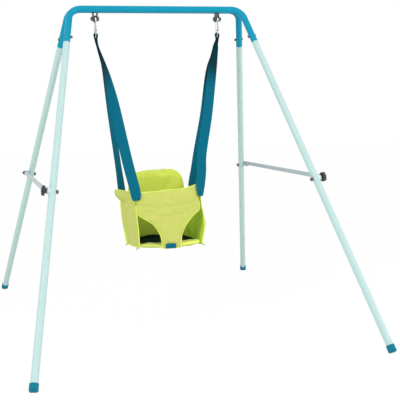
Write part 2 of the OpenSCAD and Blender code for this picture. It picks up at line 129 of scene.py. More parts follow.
world = bpy.data.worlds.new("studio")
world.use_nodes = True
scene.world = world
backdrop = world.node_tree.nodes["Background"]
backdrop.inputs["Color"].default_value = (1, 1, 1, 1)
ray = Value(world.node_tree)
glossy, clear = (ray.node("LightPath", out=f"Is {kind} Ray") for kind in ("Glossy", "Transmission"))
seen = ray.sum("MAXIMUM", ray.node("LightPath", out="Is Camera Ray"), ray.sum("MAXIMUM", glossy, clear))
world.node_tree.links.new((0.80 + seen * 0.20).socket, backdrop.inputs["Strength"])

bpy.ops.object.select_all(action="DESELECT")
bpy.ops.mesh.primitive_plane_add(size=24, location=(0, 0, -0.0004))
floor = bpy.context.object
floor.name = "floor"
paper = bpy.data.materials.new("pale_floor")
paper.use_nodes = True
paper_shader = paper.node_tree.nodes["Principled BSDF"]
paper_shader.inputs["Base Color"].default_value = (0.9, 0.9, 0.9, 1)
paper_shader.inputs["Roughness"].default_value = 0.9
to_eye = Value(paper.node_tree)
glow = to_eye.node("Emission", inputs={"Strength": 1.0})
blend = to_eye.node(
    "MixShader",
    inputs={0: to_eye.node("LightPath", out="Is Camera Ray") * 0.95,
            1: Value(paper.node_tree, paper_shader.outputs[0]), 2: glow},
)
paper.node_tree.links.new(blend.socket, paper.node_tree.nodes["Material Output"].inputs["Surface"])
floor.data.materials.append(paper)

# ---- Hoops and legs ----
# Round steel tube, powder coated: the two top hoops blue-green, the four legs pale mint.
# The coat is baked on, so it has a fine orange peel and a soft gloss.


def material(name, look, **fixed):
    """A material from fixed socket values and from the sockets that look returns."""
    made = bpy.data.materials.new(name)
    made.use_nodes = True
    shader = made.node_tree.nodes["Principled BSDF"]
    for socket, value in fixed.items():
        shader.inputs[socket.replace("_", " ")].default_value = value
    for socket, value in look(Value(made.node_tree)).items():
        made.node_tree.links.new(value.socket, shader.inputs[socket])
    return made


def powder_coat(name, colour):
    def look(v):
        place = v.node("TexCoord", out="Object")
        cloud = v.node("TexNoise", inputs={"Vector": place, "Scale": 9.0, "Detail": 4.0})
        peel = v.node("TexNoise", inputs={"Vector": place, "Scale": 520.0, "Detail": 2.0})
        dust = v.node("TexNoise", inputs={"Vector": place, "Scale": 60.0, "Detail": 6.0, "Roughness": 0.7})
        speck = v.node("ValToRGB", {"stops": [(0.62, 0.0), (0.80, 1.0)]}, {"Fac": dust})
        return {
            "Base Color": (cloud * 0.7 + speck * 0.3).mix(rgb(*colour, 0.97), rgb(*colour, 1.06)),
            "Roughness": 0.27 + cloud * 0.12 + speck * 0.08,
            "Normal": v.node("Bump", inputs={"Height": peel, "Strength": 0.10, "Distance": 0.0008}),
        }

    return material(name, look, Specular_IOR_Level=0.12, Coat_Weight=0.08, Coat_Roughness=0.12)


def dress(coat, *names):
    """Gives CAD nodes their finished material."""
    for name in names:
        node = frame["nodes"][name]
        node.data.materials.clear()
        node.data.materials.append(coat)


teal_coat = powder_coat("teal_powder_coat", (0, 139, 168))
mint_coat = powder_coat("mint_powder_coat", (177, 204, 201))
dress(teal_coat, "front_top_tube", "rear_top_tube")
legs = [f"{side}_{end}_leg" for side in ("left", "right") for end in ("front", "rear")]
dress(mint_coat, *legs)

# ---- Foot caps ----
# Four square-ended caps of soft plastic, pushed over the leg ends. Each is a copy of its
# solid, cut across the leg at CAP_LENGTH from its lower end. A leg's line runs down from its
# knee, the place beside its knob.

CAP_LENGTH = 0.025


def moulded(name, colour, roughness, **finish):
    def look(v):
        place = v.node("TexCoord", out="Object")
        grain = v.node("TexNoise", inputs={"Vector": place, "Scale": 900.0, "Detail": 3.0})
        rub = v.node("TexNoise", inputs={"Vector": place, "Scale": 45.0, "Detail": 5.0})
        return {
            "Base Color": rub.mix(rgb(*colour, 0.92), rgb(*colour, 1.08)),
            "Roughness": (roughness - 0.08) + rub * 0.16,
            "Normal": v.node("Bump", inputs={"Height": grain, "Strength": 0.18, "Distance": 0.0006}),
        }

    return material(name, look, **finish)


def pick(piece):
    """Selects one piece alone and makes it the active one."""
    bpy.ops.object.select_all(action="DESELECT")
    piece.select_set(True)
    bpy.context.view_layer.objects.active = piece


def edit_alone(piece):
    """Opens one piece in edit mode, with all of it selected and nothing else."""
    pick(piece)
    bpy.ops.object.mode_set(mode="EDIT")
    bpy.ops.mesh.select_all(action="SELECT")


cap_plastic = moulded("teal_cap_plastic", (0, 116, 138), 0.34, Specular_IOR_Level=0.12)
joints = {joint["name"]: joint for joint in frame["joints"]}
for side in ("left", "right"):
    for end, way in (("front", 1), ("rear", -1)):
        node = f"{side}_{end}_foot"
        low, high = (Vector(corner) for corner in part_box(node))
        knee = Vector(joints[f"{side}_knob_turn"]["pos_m"])
        knee.y *= way
        down = ((low + high) / 2 - knee).normalized()
        cap = bpy.data.objects.new(node + "_cap", frame["nodes"][node].data.copy())
        scene.collection.objects.link(cap)
        tip = max((vertex.co - knee).dot(down) for vertex in cap.data.vertices)
        edit_alone(cap)
        bpy.ops.mesh.remove_doubles(threshold=0.00001)
        rim = knee + down * (tip - CAP_LENGTH)
        bpy.ops.mesh.bisect(plane_co=rim, plane_no=down, clear_inner=True, use_fill=True)
        bpy.ops.mesh.select_all(action="SELECT")
        bpy.ops.mesh.normals_make_consistent(inside=False)
        bpy.ops.object.mode_set(mode="OBJECT")
        cap.data.materials.clear()
        cap.data.materials.append(cap_plastic)
        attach(cap, f"{end}_frame")
        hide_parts(node)

# ---- Bolts, nuts, washers and hinge lugs ----
# Zinc plated fasteners with a faint brushed haze. The tabs welded under the hoops and the
# hinge bolts are darker steel.


def plated(name, colour, metallic, low, high):
    """Plated or bare steel, its roughness hazy between low and high."""

    def look(v):
        place = v.node("TexCoord", out="Object")
        haze = v.node("TexNoise", inputs={"Vector": place, "Scale": 130.0, "Detail": 5.0})
        scratch = v.node("TexNoise", inputs={"Vector": place, "Scale": 700.0, "Detail": 2.0,
                                             "Distortion": 1.5})
        return {
            "Base Color": haze.mix(rgb(*colour, 0.82), rgb(*colour, 1.05)),
            "Roughness": low + haze * (high - low),
            "Normal": v.node("Bump", inputs={"Height": scratch, "Strength": 0.12, "Distance": 0.0003}),
        }

    return material(name, look, Metallic=metallic)


zinc = plated("zinc_plate", (196, 196, 196), metallic=1.0, low=0.22, high=0.42)
bolt_zinc = plated("bolt_zinc", (112, 118, 120), metallic=1.0, low=0.25, high=0.45)
dark_steel = plated("dark_steel", (88, 96, 102), metallic=0.8, low=0.32, high=0.55)
dress(zinc, "left_snap_hook", "right_snap_hook", "left_gate", "right_gate")
dress(bolt_zinc, "front_joint_bolts", "front_joint_nuts", "rear_joint_bolts", "rear_joint_nuts", "brace_nuts",
      "left_knob_bolt", "right_knob_bolt", "left_brace_bolt", "right_brace_bolt", "hinge_washers")
dress(dark_steel, "left_hinge_bolt", "right_hinge_bolt", "hinge_nuts", "gate_pins")
dress(dark_steel, *[leg.replace("leg", "hinge_lug") for leg in legs])

# ---- Braces and knobs ----
# A round tube on each side with pressed flat ends, coated like the legs, and the black
# plastic knobs and pale saddle washers that hold it.

dress(powder_coat("brace_coat", (160, 176, 180)), "left_brace", "right_brace")
black_plastic = moulded("black_plastic", (38, 42, 46), 0.42)
dress(black_plastic, "left_knob", "right_knob", "left_hanger_bush", "right_hanger_bush")
dress(moulded("pale_plastic", (206, 222, 224), 0.45), "front_brace_spacers", "rear_brace_spacers")

# ---- Webbing straps ----
# One length of 40 mm woven polypropylene on each side. It is sewn to the front of the seat,
# goes up, gathers over the bottom of the snap hook, and comes down to the rear of the seat.

WEB_WIDTH, WEB_THICK, GATHERED_WIDTH = 0.040, 0.0016, 0.010


def webbing(name, colour, shade, edge_on_shade_colour):
    """Ribbed webbing with painted shade high up under the hooks, where the bunched strap turns edge on; on
    the rear run the painted shade starts lower down.
    """

    def look(v):
        cloth = v.node("UVMap", {"uv_map": "cloth"})
        across = v.node("SeparateXYZ", inputs={0: cloth}, out=0)
        along = v.node("SeparateXYZ", inputs={0: cloth}, out=1)
        lean = v.sum("ABSOLUTE", v.sum("FRACT", across * 100.0) - 0.5)
        rib = v.sum("SINE", (along * 2600.0) + lean * 9.0)
        cord = v.sum("SINE", across * 3770.0)
        weave = 0.5 + 0.30 * rib + 0.20 * cord
        place = v.node("TexCoord", out="Object")
        fuzz = v.node("TexNoise", inputs={"Vector": place, "Scale": 75.0, "Detail": 5.0})
        depth = v.node("SeparateXYZ", inputs={0: place}, out=1)
        height = v.node("SeparateXYZ", inputs={0: place}, out=2)
        # Painted shade: the strap darkens towards the hooks, and lower down on its rear run.
        edge_on_shade = v.node("ValToRGB", {"stops": [(0.86, 0.0), (0.97, 0.9)]}, {"Fac": height + depth * 0.8})
        open_web = (weave * 0.6 + fuzz * 0.4).mix(rgb(*shade), rgb(*colour))
        return {
            "Base Color": edge_on_shade.mix(open_web, rgb(*edge_on_shade_colour)),
            "Roughness": 0.60 + fuzz * 0.25,
            "Normal": v.node("Bump", inputs={"Height": weave, "Strength": 0.35, "Distance": 0.0006}),
        }

    return material(name, look, Specular_IOR_Level=0.08)


def spline(points, count):
    """Points evenly spread on a smooth curve through the given ones; each may have any length."""
    fine = []
    for i in range(len(points) - 1):
        a, b, c, d = (points[max(0, min(len(points) - 1, i + k))] for k in (-1, 0, 1, 2))
        for step in range(24):
            t = step / 24
            fine.append([
                q + 0.5 * t * (r - p + t * (2 * p - 5 * q + 4 * r - s + t * (3 * q - p - 3 * r + s)))
                for p, q, r, s in zip(a, b, c, d)
            ])
    fine.append(list(points[-1]))
    run = [0.0]
    for a, b in zip(fine, fine[1:]):
        run.append(run[-1] + math.dist(a[:3], b[:3]))
    spread, k = [], 0
    for i in range(count):
        want = run[-1] * i / (count - 1)
        while k < len(run) - 2 and run[k + 1] < want:
            k += 1
        t = (want - run[k]) / max(1e-9, run[k + 1] - run[k])
        spread.append([p + (q - p) * t for p, q in zip(fine[k], fine[k + 1])])
    return spread, run[-1]


def from_form(name, form):
    """Ends a mesh under construction and puts it in the scene as one piece."""
    bmesh.ops.recalc_face_normals(form, faces=form.faces)
    mesh = bpy.data.meshes.new(name)
    form.to_mesh(mesh)
    form.free()
    piece = bpy.data.objects.new(name, mesh)
    scene.collection.objects.link(piece)
    return piece


def thread_beads(name, marks, half=0.0018, thin=0.0005):
    """Stitches of sewing thread: one small bead for each (place, direction, way up)."""
    form = bmesh.new()
    for spot, run, up in marks:
        cross = run.cross(up).normalized()
        ends = [form.verts.new(spot + run * (k * half) - up * 0.0002) for k in (-1, 1)]
        corners = ((thin, 0), (0, thin), (-thin, 0), (0, -thin))
        ring = [form.verts.new(spot + cross * a + up * b) for a, b in corners]
        for i in range(4):
            form.faces.new((ends[0], ring[i], ring[(i + 1) % 4]))
            form.faces.new((ends[1], ring[(i + 1) % 4], ring[i]))
    return from_form(name, form)


def strap(name, rows, count=260, boxes=()):
    """Webbing along rows of (x, y, z, turn, gather): turn is the direction of its width seen from
    above, in degrees, and gather goes from 0, flat, to 1, pleated to fit a hook. Each of the boxes,
    a pair of row numbers, is sewn down with a crossed square of thread, whose stitches run along
    the strap (0), across it (1) or slantwise (2)."""
    spread, length = spline(rows, count)
    columns, pleats = 30, 2.5
    form = bmesh.new()
    cloth = form.loops.layers.uv.new("cloth")
    grid, flat_places = [], {}
    for i, (x, y, z, turn, gather) in enumerate(spread):
        ahead, behind = spread[min(i + 1, count - 1)], spread[max(i - 1, 0)]
        run = (Vector(ahead[:3]) - Vector(behind[:3])).normalized()
        wide = Vector((math.cos(math.radians(turn)), math.sin(math.radians(turn)), 0))
        wide = (wide - run * wide.dot(run)).normalized()
        face = run.cross(wide)
        row = []
        for side in (-1, 1):
            for j in range(columns + 1):
                s = j / columns - 0.5
                width = WEB_WIDTH * (1 - gather) + GATHERED_WIDTH * gather
                fold = 0.0023 * gather * math.sin(2 * math.pi * pleats * (s + 0.5))
                cup = 0.0012 * (1 - gather) * math.cos(math.pi * s)
                ripple = 0.0009 * noise.noise(Vector((s * 2.5, i * 0.035, len(name))))
                edge = 1 - 0.45 * (abs(s) > 0.499)
                thick = side * WEB_THICK / 2 * edge
                spot = Vector((x, y, z)) + wide * (s * width) + face * (fold + cup + ripple + thick)
                vertex = form.verts.new(spot)
                flat_places[vertex] = (s * WEB_WIDTH, length * i / count)
                row.append(vertex)
        grid.append(row)
    half = columns + 1
    quads = []
    for lower, upper in zip(grid, grid[1:]):
        for j in range(columns):
            quads.append((lower[j], upper[j], upper[j + 1], lower[j + 1]))
            quads.append((lower[half + j], lower[half + j + 1], upper[half + j + 1], upper[half + j]))
        quads.append((lower[0], lower[half], upper[half], upper[0]))
        quads.append((lower[columns], upper[columns], upper[-1], lower[-1]))
    for end in (grid[0], grid[-1]):
        for j in range(columns):
            quads.append((end[j], end[j + 1], end[half + j + 1], end[half + j]))
    for quad in quads:
        made = form.faces.new(quad)
        made.smooth = True
        for loop in made.loops:
            loop[cloth].uv = flat_places[loop.vert]
    marks = []
    for first, last in boxes:
        spots = [(row, j, 1) for row in (first, last) for j in range(5, columns - 3, 4)]
        spots += [(row, j, 0) for row in range(first, last + 1) for j in (3, columns - 3)]
        for row in range(first, last + 1):
            across = 3 + (columns - 6) * (row - first) / (last - first)
            spots += [(row, round(across), 2), (row, columns - round(across), 2)]
        for row, j, kind in spots:
            along = (grid[min(row + 1, count - 1)][j].co - grid[max(row - 1, 0)][j].co).normalized()
            wide = (grid[row][j + 1].co - grid[row][j - 1].co).normalized()
            rising = 1 if j * (last - first) < columns * (row - first) + 6 else -1
            run = (along, wide, along + wide * rising)[kind]
            for near, far in ((0, half), (half, 0)):
                up = (grid[row][near + j].co - grid[row][far + j].co).normalized()
                marks.append((grid[row][near + j].co.copy(), run.normalized(), up))
    sewing = thread_beads(name + "_stitches", marks, 0.0016) if marks else None
    return from_form(name, form), sewing


HOOK_X, WIRE_Z, ARCH = 0.240, 1.1048, 0.0062
NECK_HALF, NECK_DROP = 0.0036, 0.012


def side_rows(side, front_rows, rear_rows):
    """Rows from the seat's front over the hook wire to the seat's rear, mirrored for the left. They
    turn over the wire at the radius ARCH, above a neck where both runs hang close together."""
    over = []
    for degrees in range(0, 181, 30):
        turn = math.radians(degrees)
        over.append((HOOK_X - ARCH * math.cos(turn), 0, WIRE_Z + ARCH * math.sin(turn), 90, 1.0))
    rows = front_rows + [(HOOK_X - NECK_HALF, 0, WIRE_Z - NECK_DROP, 90, 1.0)] + over
    rows += [(HOOK_X + NECK_HALF, 0, WIRE_Z - NECK_DROP, 90, 1.0)] + rear_rows
    if side < 0:
        rows = [(-x, y, z, 180 - turn, gather) for x, y, z, turn, gather in rows]
    return rows


# The last colour is the painted shade under the hooks.
web = webbing("teal_webbing", (0, 110, 134), (0, 84, 106), (0, 38, 44))
web_thread = moulded("teal_thread", (18, 96, 116), 0.6)
left_rows = side_rows(
    -1,
    [(0.1281, -0.1278, 0.481, 4, 0.45), (0.1297, -0.1278, 0.492, 4, 0.16), (0.1308, -0.1274, 0.503, 4, 0.06),
     (0.1352, -0.1226, 0.532, 5, 0), (0.1570, -0.105, 0.640, 10, 0),
     (0.1825, -0.067, 0.800, 20, 0), (0.1955, -0.047, 0.885, 44, 0.04), (0.2085, -0.028, 0.965, 72, 0.16),
     (0.2290, -0.005, 1.045, 80, 0.65), (0.2352, -0.0015, 1.070, 88, 0.92)],
    [(0.2382, 0.0015, 1.070, 92, 0.92), (0.2320, 0.005, 1.045, 100, 0.65), (0.2125, 0.0197, 0.965, 112, 0.16),
     (0.1855, 0.050, 0.800, 130, 0), (0.1630, 0.077, 0.654, 134, 0), (0.1530, 0.0895, 0.586, 137, 0),
     (0.1420, 0.104, 0.508, 144, 0), (0.1385, 0.0985, 0.488, 134, 0), (0.1315, 0.092, 0.466, 112, 0),
     (0.1258, 0.087, 0.446, 94, 0), (0.1250, 0.087, 0.424, 93, 0)],
)
right_rows = side_rows(
    1,
    [(0.1229, -0.1206, 0.485, 22, 0.58), (0.1234, -0.1206, 0.502, 21, 0.30), (0.1242, -0.1190, 0.530, 16, 0),
     (0.1314, -0.1130, 0.580, 12, 0), (0.1375, -0.104, 0.650, 10, 0), (0.1755, -0.066, 0.800, 14, 0),
     (0.2085, -0.028, 0.965, 18, 0), (0.2280, -0.008, 1.045, 26, 0.36), (0.2318, -0.0035, 1.068, 36, 0.62)],
    [(0.2392, 0.0018, 1.070, 94, 0.9), (0.2345, 0.0050, 1.045, 116, 0.45), (0.2140, 0.0160, 0.965, 136, 0),
     (0.1923, 0.0386, 0.800, 132, 0), (0.1676, 0.0593, 0.654, 130, 0), (0.1567, 0.0690, 0.586, 126, 0),
     (0.1450, 0.0795, 0.518, 124, 0), (0.1380, 0.0820, 0.488, 102, 0), (0.1310, 0.0845, 0.466, 98, 0),
     (0.1258, 0.086, 0.446, 94, 0), (0.1250, 0.087, 0.424, 93, 0)],
)
for side, rows in (("left", left_rows), ("right", right_rows)):
    piece, sewing = strap(f"{side}_webbing", rows, boxes=((1, 7), (251, 257)))
    piece.data.materials.append(web)
    sewing.data.materials.append(web_thread)
    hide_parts(f"{side}_strap_loop", f"{side}_front_strap", f"{side}_rear_strap")
    for made in (piece, sewing):
        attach(made, "swing")

# ---- Seat base ----
# A flat cushion with a stiff plastic board in its pocket. Cover and filling are cut together,
# bound at the edge and swollen by the filling between the seams.


def fabric(name, colour, shade, bulk=0.55):
    """Woven polyester: a plain weave, slubs, and soft light and dark from handling."""

    def look(v):
        cloth = v.node("UVMap", {"uv_map": "cloth"})
        across = v.node("SeparateXYZ", inputs={0: cloth}, out=0)
        along = v.node("SeparateXYZ", inputs={0: cloth}, out=1)
        weave = v.sum("SINE", across * 5600.0) * v.sum("SINE", along * 5600.0)
        place = v.node("TexCoord", out="Object")
        slub = v.node("TexNoise", inputs={"Vector": place, "Scale": 260.0, "Detail": 4.0, "Roughness": 0.6})
        wear = v.node("TexNoise", inputs={"Vector": place, "Scale": 13.0, "Detail": 5.0})
        crease = v.node("TexNoise", inputs={"Vector": place, "Scale": 34.0, "Detail": 3.0,
                                            "Distortion": 0.8})
        tint = wear * 0.55 + slub * 0.30 + (0.5 + weave * 0.5) * 0.15
        height = crease * 1.0 + slub * 0.10 + weave * 0.05
        return {
            "Base Color": tint.mix(rgb(*shade), rgb(*colour)),
            "Roughness": 0.66 + wear * 0.18,
            "Normal": v.node("Bump", inputs={"Height": height, "Strength": bulk, "Distance": 0.0030}),
        }

    return material(name, look, Specular_IOR_Level=0.3)


def rounded(*corners):
    """A closed outline from corners in mm, cut round twice; a corner given twice stays nearly sharp."""
    points = [Vector(corner) / 1000 for corner in corners]
    for _ in range(2):
        points = [p.lerp(q, t) for p, q in zip(points, points[1:] + points[:1]) for t in (0.25, 0.75)]
    return points


def gap_to(line, spot):
    """Distance in the panel's plane from spot to a line of points."""
    best = 1e9
    for a, b in zip(line, line[1:]):
        d = b - a
        t = max(0.0, min(1.0, (spot - a).dot(d) / max(1e-12, d.length_squared)))
        best = min(best, (a + d * t - spot).length)
    return best


def apply_all(piece):
    pick(piece)
    for modifier in list(piece.modifiers):
        bpy.ops.object.modifier_apply(modifier=modifier.name)


PINCH_SEAM, PINCH_RIM, SEWN_SEAM, SEWN_RIM = 0.009, 0.010, 0.0028, 0.0030


def panel(name, outline, thick, seams=(), swell=0.006, voxel=0.0045):
    """A padded panel in its own plane: cut, remeshed, then swollen between its sewn lines."""
    form = bmesh.new()
    low = [form.verts.new((*p, -thick / 2)) for p in outline]
    high = [form.verts.new((*p, thick / 2)) for p in outline]
    form.faces.new(low[::-1])
    form.faces.new(high)
    for i in range(len(outline)):
        k = (i + 1) % len(outline)
        form.faces.new((low[i], low[k], high[k], high[i]))
    bmesh.ops.triangulate(form, faces=[f for f in form.faces if len(f.verts) > 4])
    piece = from_form(name, form)
    cut = piece.modifiers.new("cut", "REMESH")
    cut.mode, cut.voxel_size = "VOXEL", voxel
    apply_all(piece)
    edge = [*outline, outline[0]]
    rest, sewn = [], []
    for vertex in piece.data.vertices:
        flat = vertex.co.xy
        near = min([gap_to(line, flat) for line in seams], default=1.0)
        rim = gap_to(edge, flat)
        if near < PINCH_SEAM:
            vertex.co.z *= 0.25 + 0.75 * (near / PINCH_SEAM) ** 0.7
        if rim < PINCH_RIM:
            vertex.co.z *= 0.50 + 0.50 * (rim / PINCH_RIM) ** 0.7
        if near < SEWN_SEAM or rim < SEWN_RIM:
            sewn.append(vertex.index)
        rest.append(vertex.co.copy())
    group = piece.vertex_groups.new(name="sewn")
    group.add(sewn, 1.0, "REPLACE")
    filling = piece.modifiers.new("filling", "CLOTH")
    cloth = filling.settings
    cloth.quality, cloth.mass, cloth.air_damping = 4, 0.25, 2.0
    cloth.tension_stiffness = cloth.compression_stiffness = 12
    cloth.shear_stiffness, cloth.bending_stiffness = 6, 0.4
    cloth.use_pressure, cloth.uniform_pressure_force = True, 4.0
    cloth.shrink_min = -0.05
    cloth.vertex_group_mass = "sewn"
    cloth.effector_weights.gravity = 0
    for step in range(1, 21):
        scene.frame_set(step)
    swollen = piece.evaluated_get(bpy.context.evaluated_depsgraph_get()).data
    moves = [v.co - old for v, old in zip(swollen.vertices, rest)]
    piece.modifiers.remove(filling)
    scene.frame_set(1)
    for vertex, old, move in zip(piece.data.vertices, rest, moves):
        vertex.co = old + move * min(1.0, swell / max(move.length, 1e-9))
    piece.vertex_groups.clear()
    piece.modifiers.new("soften", "SMOOTH").iterations = 2
    round_off = piece.modifiers.new("round", "SUBSURF")
    round_off.levels = round_off.render_levels = 1
    apply_all(piece)
    cloth_map = piece.data.uv_layers.new(name="cloth")
    for loop in piece.data.loops:
        cloth_map.data[loop.index].uv = piece.data.vertices[loop.vertex_index].co.xy
    for face in piece.data.polygons:
        face.use_smooth = True
    return piece


def binding(name, line, radius, closed=True):
    """Folded tape sewn along a line, as a round welt."""
    curve = bpy.data.curves.new(name, "CURVE")
    curve.dimensions, curve.bevel_depth, curve.bevel_resolution = "3D", radius, 3
    curve.use_fill_caps = True
    path = curve.splines.new("POLY")
    path.points.add(len(line) - 1)
    for point, spot in zip(path.points, line):
        point.co = (*spot, 0, 1) if len(spot) == 2 else (*spot, 1)
    path.use_cyclic_u = closed
    piece = bpy.data.objects.new(name, curve)
    scene.collection.objects.link(piece)
    pick(piece)
    bpy.ops.object.convert(target="MESH")
    piece = bpy.context.object
    for face in piece.data.polygons:
        face.use_smooth = True
    return piece


def inset(outline, depth):
    """The outline moved inwards; it runs anticlockwise."""
    moved = []
    for before, here, after in zip(outline[-1:] + outline[:-1], outline, outline[1:] + outline[:1]):
        run = (after - before).normalized()
        moved.append(here + Vector((-run.y, run.x)) * depth)
    return moved


def run_length(line):
    return sum((after - here).length for here, after in zip(line, line[1:]))


def stitches(name, pad, lines, sides):
    """Lockstitch thread that lies on the pad along the lines: one small rounded bead per stitch."""
    skin = BVHTree.FromObject(pad, bpy.context.evaluated_depsgraph_get())
    marks = []
    for line in lines:
        spread, _ = spline([(*spot, 0.0) for spot in line], max(2, round(run_length(line) / STITCH_PITCH)))
        for here, after in zip(spread, spread[1:]):
            middle = (Vector(here) + Vector(after)) / 2
            run = (Vector(after) - Vector(here)).normalized()
            for side in sides:
                hit, *_ = skin.ray_cast(Vector((middle.x, middle.y, side * 0.1)), Vector((0, 0, -side)))
                if hit is not None:
                    marks.append((hit, run, Vector((0, 0, side))))
    return thread_beads(name, marks)


def put(place, *pieces):
    """Moves pieces from a panel's own plane to where place says."""
    for piece in pieces:
        for vertex in piece.data.vertices:
            vertex.co = place(*vertex.co)
        piece.data.update()


def turned_out(piece):
    """Turns all faces outwards, after a placing that mirrors."""
    form = bmesh.new()
    form.from_mesh(piece.data)
    bmesh.ops.recalc_face_normals(form, faces=form.faces)
    form.to_mesh(piece.data)
    form.free()


STITCH_PITCH, WELT_RADIUS, SEAM_ALLOWANCE = 0.0048, 0.0017, 0.0065
lime = fabric("lime_fabric", (198, 204, 106), (180, 188, 88))
# A greener copy of the lime, painted shade: it stands for the shade and green bounce light on the seat's
# inner faces.
lime_inner_shade = fabric("lime_inner_painted_shade", (200, 230, 80), (180, 212, 60))
# The binding is paler than the lime: partly its own colour, partly a painted highlight along the edges.
tape = fabric("lime_binding_painted_highlight", (230, 244, 112), (216, 232, 92), bulk=0.3)
thread = moulded("lime_thread", (204, 216, 104), 0.55)
SEAT_BOTTOM, SEAT_DROP, SEAT_FRONT_Y, SEAT_REAR_Y = 0.296, 0.018, 0.118, 0.110
SEAT_DEPTH = SEAT_FRONT_Y + SEAT_REAR_Y


def sewn_part(name, node, cloth, outline, thick, place, seams=(), swell=0.006,
              sides=(1, -1), rows=(), shade_facing=None):
    """Faces that look along the given facing take a greener copy of the lime: painted shade and green bounce
    light for the inside of the seat.
    """
    pad = panel(name, outline, thick, seams, swell)
    inner = inset(outline, SEAM_ALLOWANCE)
    lines = [[*inner, inner[0]], *seams, *rows]
    sewing = stitches(name + "_stitches", pad, lines, sides)
    edging = binding(name + "_binding", outline, WELT_RADIUS)
    put(place, pad, sewing, edging)
    for piece, finish in ((pad, cloth), (sewing, thread), (edging, tape)):
        turned_out(piece)
        piece.data.materials.append(finish)
        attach(piece, "swing")
    if shade_facing is not None:
        pad.data.materials.append(lime_inner_shade)
        for face in pad.data.polygons:
            face.material_index = int(face.normal.dot(shade_facing) > 0.3)
    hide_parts(node)
    return pad


def ease(t):
    t = max(0.0, min(1.0, t))
    return t * t * (3 - 2 * t)


def outer(side, run, z):
    """How far a side's outer face stands from the middle; run goes from 0 in front to 1 behind."""
    if side < 0:
        front = 0.1275 + 0.0060 * ease((z - 0.34) / 0.09)
        rear = 0.128 + 0.0195 * ease((z - 0.27) / 0.15)
    else:
        front = 0.130 + 0.0155 * math.exp(-((z - 0.378) / 0.055) ** 2)
        rear = 0.127 + 0.0155 * ease((z - 0.30) / 0.14)
    return front + (rear - front) * run


def base_place(x, y, z):
    """The base: x goes to the right, y to the back and a little down, as the seat hangs tilted."""
    near = ease((-y - 0.085) / 0.03)
    lip = near * 0.006 * ease(x / 0.05)
    sag = near * 0.0055 * ease((x + 0.11) / 0.07) * ease((0.118 - x) / 0.05)
    up = SEAT_BOTTOM + 0.011 - SEAT_DROP * (y + SEAT_FRONT_Y) / SEAT_DEPTH + z
    return Vector((x, y - 0.003 * near * math.cos(math.pi * x / 0.24), up + lip * (z > 0) - sag))


base_outline = rounded((-118, -118), (-118, -118), (114, -118), (114, -118), (118, 109), (118, 109),
                       (-118, 109), (-118, 109))
base_rows = [[Vector((x, -0.095)), Vector((x * 1.06, 0.095))] for x in (-0.06, 0.0, 0.06)]
sewn_part("seat_base_pad", "seat_base", lime, base_outline, 0.014, base_place,
          swell=0.004, sides=(-1,), rows=base_rows)
dress(moulded("board_plastic", (214, 218, 214), 0.5), "seat_board")

# ---- Liner ----
# A dark wipe-clean cloth stretched over the seat base; it shows through the leg holes. Its colour is taken
# nearly to black, partly its own dark teal and partly painted shade for the deep shadow inside the seat. It
# is cut and swollen like the panels, and rises a little towards the middle of the back.


def liner_shade_look(v):
    cloth = v.node("UVMap", {"uv_map": "cloth"})
    across = v.node("SeparateXYZ", inputs={0: cloth}, out=0)
    along = v.node("SeparateXYZ", inputs={0: cloth}, out=1)
    weave = v.sum("SINE", across * 4200.0) * v.sum("SINE", along * 4200.0)
    place = v.node("TexCoord", out="Object")
    rub = v.node("TexNoise", inputs={"Vector": place, "Scale": 28.0, "Detail": 5.0})
    return {
        # Painted shade: the teal is taken nearly to black for the deep shadow inside the seat.
        "Base Color": rub.mix(rgb(0, 10, 14), rgb(0, 26, 34)),
        "Roughness": 0.7 + rub * 0.2,
        "Normal": v.node("Bump", inputs={"Height": weave * 0.1 + rub, "Strength": 0.4, "Distance": 0.002}),
    }


def base_cover_place(x, y, z):
    ripple = 0.0012 * noise.noise(Vector((x * 22, y * 22, 3)))
    ripple += 0.011 * math.exp(-((x + 0.02) / 0.05) ** 2) * ease((y - 0.06) / 0.05)
    return Vector((x, y, SEAT_BOTTOM + 0.0222 - SEAT_DROP * (y + SEAT_FRONT_Y) / SEAT_DEPTH + z + ripple))


liner_outline = rounded((-111, -104), (-111, -104), (97, -104), (104, -98), (114, 107), (114, 107),
                        (-114, 107), (-114, 107))
liner = panel("seat_liner_pad", liner_outline, 0.005, swell=0.0015, voxel=0.003)
put(base_cover_place, liner)
turned_out(liner)
liner.data.materials.append(material("dark_liner_painted_shade", liner_shade_look, Specular_IOR_Level=0.06))
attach(liner, "swing")
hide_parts("seat_liner")

# ---- Backrest ----
# The tallest panel, its two upper corners cut round. It bows around the child, so its sides
# come forward to meet the side panels, and a crease runs up its right half.


def back_place(x, y, z):
    """The back: its own plane stands up, x to the right and y up."""
    high = ease((y - 0.44) / 0.08)
    bow = 0.016 * min(1.0, abs(x) / 0.125) ** 2.2 * high
    roll = 0.007 * ease((y - 0.545) / 0.04)
    crease = 0.012 * math.exp(-((x - 0.062 - 0.4 * (y - 0.53)) / 0.024) ** 2) * ease((y - 0.42) / 0.10)
    fold = 0.0018 * noise.noise(Vector((x * 14, y * 7, 1.7)))
    return Vector((x, SEAT_REAR_Y + 0.0052 - z - bow + roll + crease + fold, y))


back_outline = rounded((-125, 279), (-125, 279), (124, 279), (124, 279), (136, 380), (141, 440), (141, 458),
                       (141, 458), (118, 468), (115, 500), (111, 532), (102, 556), (86, 570), (58, 576),
                       (10, 576), (-30, 574), (-80, 568), (-100, 556), (-110, 533), (-114, 500), (-118, 468),
                       (-146, 458), (-146, 458), (-146, 430), (-142, 380), (-134, 330))
back_rows = [[Vector((-0.142, 0.456)), Vector((0, 0.452)), Vector((0.134, 0.456))]]
